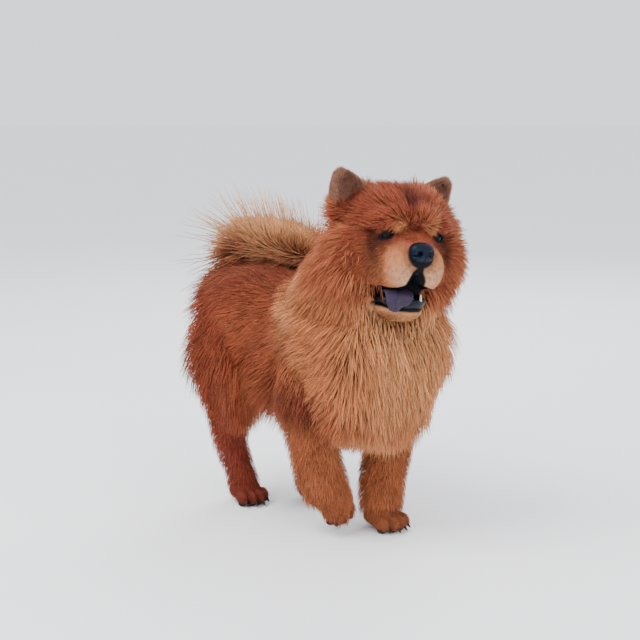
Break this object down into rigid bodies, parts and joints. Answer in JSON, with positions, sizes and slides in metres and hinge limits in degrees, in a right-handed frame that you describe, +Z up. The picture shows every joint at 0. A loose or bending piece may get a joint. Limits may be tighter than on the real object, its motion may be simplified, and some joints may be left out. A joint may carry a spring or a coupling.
{
  "type": "chow chow dog",
  "caption": "Life-size rough-coated dog walking with its mouth open, a deep mane, small rounded ears and a plumed tail carried forward over its back.",
  "frame": {"origin": "on the floor, under the middle of the bounding box", "axes": "+X towards the front of the dog, +Y to its left, +Z up"},
  "size_m": [0.6636, 0.351, 0.6825],
  "materials": {
    "body_coat": "deep red-brown guard hair over a soft undercoat, dull",
    "mane_coat": "long red-gold mane hair, dull",
    "plume_coat": "long pale gold tail hair, dull",
    "jaw_coat": "short cream chin hair",
    "nose_leather": "moist blue-black nose leather",
    "tongue": "wet blue-purple tongue",
    "eyes": "dark brown glossy eye"
  },
  "bodies": {
    "root": {"ear_left": "body_coat", "ear_right": "body_coat", "eye_left": "eyes", "eye_right": "eyes", "fore_left_lower": "body_coat", "fore_left_paw": "body_coat", "fore_left_upper": "body_coat", "fore_right_lower": "body_coat", "fore_right_paw": "body_coat", "fore_right_upper": "body_coat", "head": "body_coat", "hind_left_lower": "body_coat", "hind_left_paw": "body_coat", "hind_left_upper": "body_coat", "hind_right_lower": "body_coat", "hind_right_paw": "body_coat", "hind_right_upper": "body_coat", "lower_jaw": "jaw_coat", "neck": "mane_coat", "nose": "nose_leather", "rump": "body_coat", "tail": "plume_coat", "tongue": "tongue", "trunk": "body_coat"}
  },
  "joints": []
}
